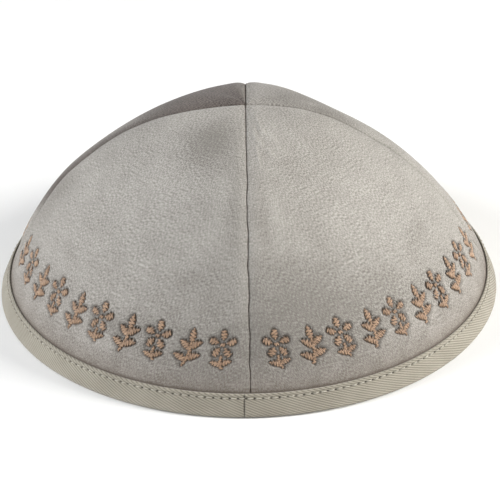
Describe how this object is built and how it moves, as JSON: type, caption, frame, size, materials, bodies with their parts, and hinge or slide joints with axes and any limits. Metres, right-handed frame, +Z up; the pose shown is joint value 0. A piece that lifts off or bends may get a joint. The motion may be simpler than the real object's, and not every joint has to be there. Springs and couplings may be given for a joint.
{
  "type": "kippah",
  "caption": "Domed velvet kippah sewn from triangular gores that meet at the apex, its round rim bound in a folded twill tape; hollow and open below.",
  "frame": {"origin": "centre of the rim's resting plane, on the vertical axis through the apex", "axes": "+Z up through the apex; the seams between the gores run to +X, -X, +Y and -Y, and the seam at -Y is the front one"},
  "size_m": [0.1748, 0.1748, 0.0711],
  "materials": {
    "velvet": "short brushed velvet pile, silver grey with a warm cast",
    "twill_tape": "matt cream cotton twill",
    "embroidery_thread": "lustrous tan satin-stitch thread",
    "sewing_thread": "matt sewing thread"
  },
  "bodies": {
    "root": {"crown_gore_front_left": "velvet", "crown_gore_front_right": "velvet", "crown_gore_back_left": "velvet", "crown_gore_back_right": "velvet", "rim_binding": "twill_tape"}
  },
  "joints": []
}
